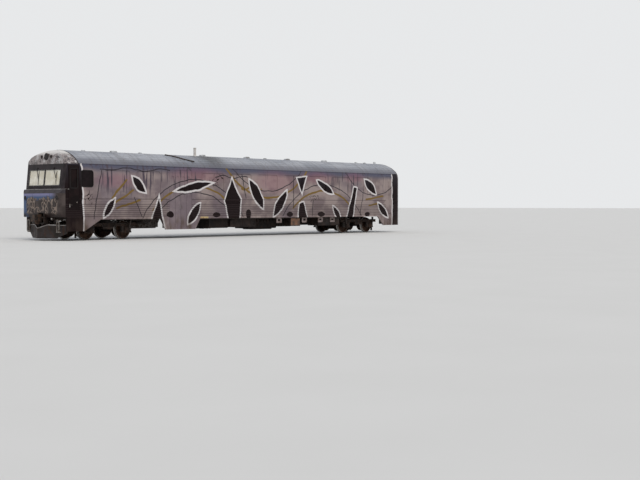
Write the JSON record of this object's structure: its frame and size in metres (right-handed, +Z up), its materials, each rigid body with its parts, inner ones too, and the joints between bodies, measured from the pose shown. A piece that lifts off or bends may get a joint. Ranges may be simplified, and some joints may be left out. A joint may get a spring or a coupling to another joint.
{
  "type": "diesel multiple unit cab car",
  "caption": "Single-ended railcar body with rounded cab, fluted sides, folding entrance doors, underfloor gear and two twin-axle bogies.",
  "frame": {"origin": "under the middle of the car, at the level of the wheel flange tips", "axes": "+X forward to the cab end, +Y to the car's left side, +Z up"},
  "size_m": [22.34, 2.88, 4.0878],
  "materials": {
    "roof_paint": "weathered satin",
    "dome_paint": "sprayed over, scuffed",
    "front_dark": "satin",
    "nose_paint": "sprayed over",
    "side_paint": "sprayed over, ribbed",
    "door_paint": "sprayed over",
    "cab_door_paint": "satin",
    "glass": "dusty",
    "painted_glass": "sprayed over",
    "lamp_glass": "clear over dark",
    "frame_steel": "dirty matte",
    "suspension_steel": "brake dust",
    "wheel_steel": "rusty, bright tread",
    "gear_steel": "dirty matte",
    "step_metal": "worn",
    "plough_paint": "scuffed",
    "coupler_iron": "greasy",
    "exhaust_metal": "sooty",
    "bellows_rubber": "matte",
    "wiper_black": "matte",
    "floor_board": "worn",
    "cab_lining": "matte",
    "seat_cloth": "woven"
  },
  "bodies": {
    "car": {"air_reservoirs": "gear_steel", "cab_bulkhead": "cab_lining", "cab_desk": "cab_lining", "cab_dome": "dome_paint", "cab_nose": "nose_paint", "corner_steps": "step_metal", "coupler_carrier": "frame_steel", "cross_members": "frame_steel", "driver_seat": "seat_cloth", "engine": "gear_steel", "entrance_steps": "step_metal", "exhaust_stack": "exhaust_metal", "floor": "floor_board", "fuel_tank": "gear_steel", "gangway_bellows": "bellows_rubber", "hanger_tabs": "frame_steel", "inner_end_wall": "frame_steel", "lamps": "lamp_glass", "plough": "plough_paint", "radiator": "gear_steel", "rear_drawbar": "frame_steel", "roof_panel": "roof_paint", "roof_vents": "roof_paint", "side_boxes": "gear_steel", "side_front_left": "side_paint", "side_front_right": "side_paint", "side_glass": "painted_glass", "side_rear_left": "side_paint", "side_rear_right": "side_paint", "side_sills": "frame_steel", "transmission": "gear_steel", "windscreen": "glass", "windscreen_frame": "front_dark", "wipers": "wiper_black"},
    "bogie_front": {"bogie_frame_front": "frame_steel", "suspension_front": "suspension_steel"},
    "bogie_rear": {"bogie_frame_rear": "frame_steel", "suspension_rear": "suspension_steel"},
    "coupler": {"front_coupler": "coupler_iron"},
    "gangway_leaf": {"gangway_door": "cab_lining"},
    "axle_1": {"wheelset_1": "wheel_steel"},
    "axle_2": {"wheelset_2": "wheel_steel"},
    "axle_3": {"wheelset_3": "wheel_steel"},
    "axle_4": {"wheelset_4": "wheel_steel"},
    "cab_door_left": {"cab_door_left": "cab_door_paint"},
    "leaf_front_left": {"door_front_leaf_left": "door_paint"},
    "free_leaf_front_left": {"door_front_free_leaf_left": "door_paint"},
    "leaf_rear_left": {"door_rear_leaf_left": "door_paint"},
    "free_leaf_rear_left": {"door_rear_free_leaf_left": "door_paint"},
    "leaf_end_left": {"door_end_leaf_left": "door_paint"},
    "free_leaf_end_left": {"door_end_free_leaf_left": "door_paint"},
    "cab_door_right": {"cab_door_right": "cab_door_paint"},
    "leaf_front_right": {"door_front_leaf_right": "door_paint"},
    "free_leaf_front_right": {"door_front_free_leaf_right": "door_paint"},
    "leaf_rear_right": {"door_rear_leaf_right": "door_paint"},
    "free_leaf_rear_right": {"door_rear_free_leaf_right": "door_paint"},
    "leaf_end_right": {"door_end_leaf_right": "door_paint"},
    "free_leaf_end_right": {"door_end_free_leaf_right": "door_paint"}
  },
  "joints": [
    {"name": "bogie_front_turn", "type": "hinge", "parent": "car", "child": "bogie_front", "pos_m": [8.2, 0, 0.94], "axis": [0, 0, 1], "range_deg": [-5, 5]},
    {"name": "bogie_rear_turn", "type": "hinge", "parent": "car", "child": "bogie_rear", "pos_m": [-8, 0, 0.94], "axis": [0, 0, 1], "range_deg": [-5, 5]},
    {"name": "axle_1_spin", "type": "hinge", "parent": "bogie_front", "child": "axle_1", "pos_m": [9.15, 0, 0.413], "axis": [0, 1, 0], "continuous": true},
    {"name": "axle_2_spin", "type": "hinge", "parent": "bogie_front", "child": "axle_2", "pos_m": [7.25, 0, 0.413], "axis": [0, 1, 0], "continuous": true},
    {"name": "axle_3_spin", "type": "hinge", "parent": "bogie_rear", "child": "axle_3", "pos_m": [-7.05, 0, 0.413], "axis": [0, 1, 0], "continuous": true},
    {"name": "axle_4_spin", "type": "hinge", "parent": "bogie_rear", "child": "axle_4", "pos_m": [-8.95, 0, 0.413], "axis": [0, 1, 0], "continuous": true},
    {"name": "leaf_front_left_swing", "type": "hinge", "parent": "car", "child": "leaf_front_left", "pos_m": [5.175, 1.42, 1.7], "axis": [0, 0, -1], "range_deg": [0, 85]},
    {"name": "leaf_front_left_fold", "type": "hinge", "parent": "leaf_front_left", "child": "free_leaf_front_left", "pos_m": [4.8665, 1.394, 1.7], "axis": [0, 0, 1], "range_deg": [0, 170]},
    {"name": "leaf_rear_left_swing", "type": "hinge", "parent": "car", "child": "leaf_rear_left", "pos_m": [3.925, 1.42, 1.7], "axis": [0, 0, 1], "range_deg": [0, 85]},
    {"name": "leaf_rear_left_fold", "type": "hinge", "parent": "leaf_rear_left", "child": "free_leaf_rear_left", "pos_m": [4.2335, 1.394, 1.7], "axis": [0, 0, -1], "range_deg": [0, 170]},
    {"name": "leaf_end_left_swing", "type": "hinge", "parent": "car", "child": "leaf_end_left", "pos_m": [-9.865, 1.42, 1.7], "axis": [0, 0, -1], "range_deg": [0, 85]},
    {"name": "leaf_end_left_fold", "type": "hinge", "parent": "leaf_end_left", "child": "free_leaf_end_left", "pos_m": [-10.1785, 1.394, 1.7], "axis": [0, 0, 1], "range_deg": [0, 170]},
    {"name": "cab_door_left_swing", "type": "hinge", "parent": "car", "child": "cab_door_left", "pos_m": [9.929, 1.38, 1.95], "axis": [0, 0, -1], "range_deg": [0, 85]},
    {"name": "leaf_front_right_swing", "type": "hinge", "parent": "car", "child": "leaf_front_right", "pos_m": [5.175, -1.42, 1.7], "axis": [0, 0, 1], "range_deg": [0, 85]},
    {"name": "leaf_front_right_fold", "type": "hinge", "parent": "leaf_front_right", "child": "free_leaf_front_right", "pos_m": [4.8665, -1.394, 1.7], "axis": [0, 0, -1], "range_deg": [0, 170]},
    {"name": "leaf_rear_right_swing", "type": "hinge", "parent": "car", "child": "leaf_rear_right", "pos_m": [3.925, -1.42, 1.7], "axis": [0, 0, -1], "range_deg": [0, 85]},
    {"name": "leaf_rear_right_fold", "type": "hinge", "parent": "leaf_rear_right", "child": "free_leaf_rear_right", "pos_m": [4.2335, -1.394, 1.7], "axis": [0, 0, 1], "range_deg": [0, 170]},
    {"name": "leaf_end_right_swing", "type": "hinge", "parent": "car", "child": "leaf_end_right", "pos_m": [-9.865, -1.42, 1.7], "axis": [0, 0, 1], "range_deg": [0, 85]},
    {"name": "leaf_end_right_fold", "type": "hinge", "parent": "leaf_end_right", "child": "free_leaf_end_right", "pos_m": [-10.1785, -1.394, 1.7], "axis": [0, 0, -1], "range_deg": [0, 170]},
    {"name": "cab_door_right_swing", "type": "hinge", "parent": "car", "child": "cab_door_right", "pos_m": [9.929, -1.38, 1.95], "axis": [0, 0, 1], "range_deg": [0, 85]},
    {"name": "gangway_door_slide", "type": "slide", "parent": "car", "child": "gangway_leaf", "axis": [0, 1, 0], "range_m": [0, 0.7]},
    {"name": "coupler_swing", "type": "hinge", "parent": "car", "child": "coupler", "pos_m": [10.12, 0, 0.928], "axis": [0, 0, 1], "range_deg": [-8, 8]}
  ],
  "couplings": [
    {"joint": "leaf_front_left_fold", "follows": "leaf_front_left_swing", "ratio": 2},
    {"joint": "leaf_rear_left_swing", "follows": "leaf_front_left_swing", "ratio": 1},
    {"joint": "leaf_rear_left_fold", "follows": "leaf_front_left_swing", "ratio": 2},
    {"joint": "leaf_end_left_fold", "follows": "leaf_end_left_swing", "ratio": 2},
    {"joint": "leaf_front_right_fold", "follows": "leaf_front_right_swing", "ratio": 2},
    {"joint": "leaf_rear_right_swing", "follows": "leaf_front_right_swing", "ratio": 1},
    {"joint": "leaf_rear_right_fold", "follows": "leaf_front_right_swing", "ratio": 2},
    {"joint": "leaf_end_right_fold", "follows": "leaf_end_right_swing", "ratio": 2}
  ]
}
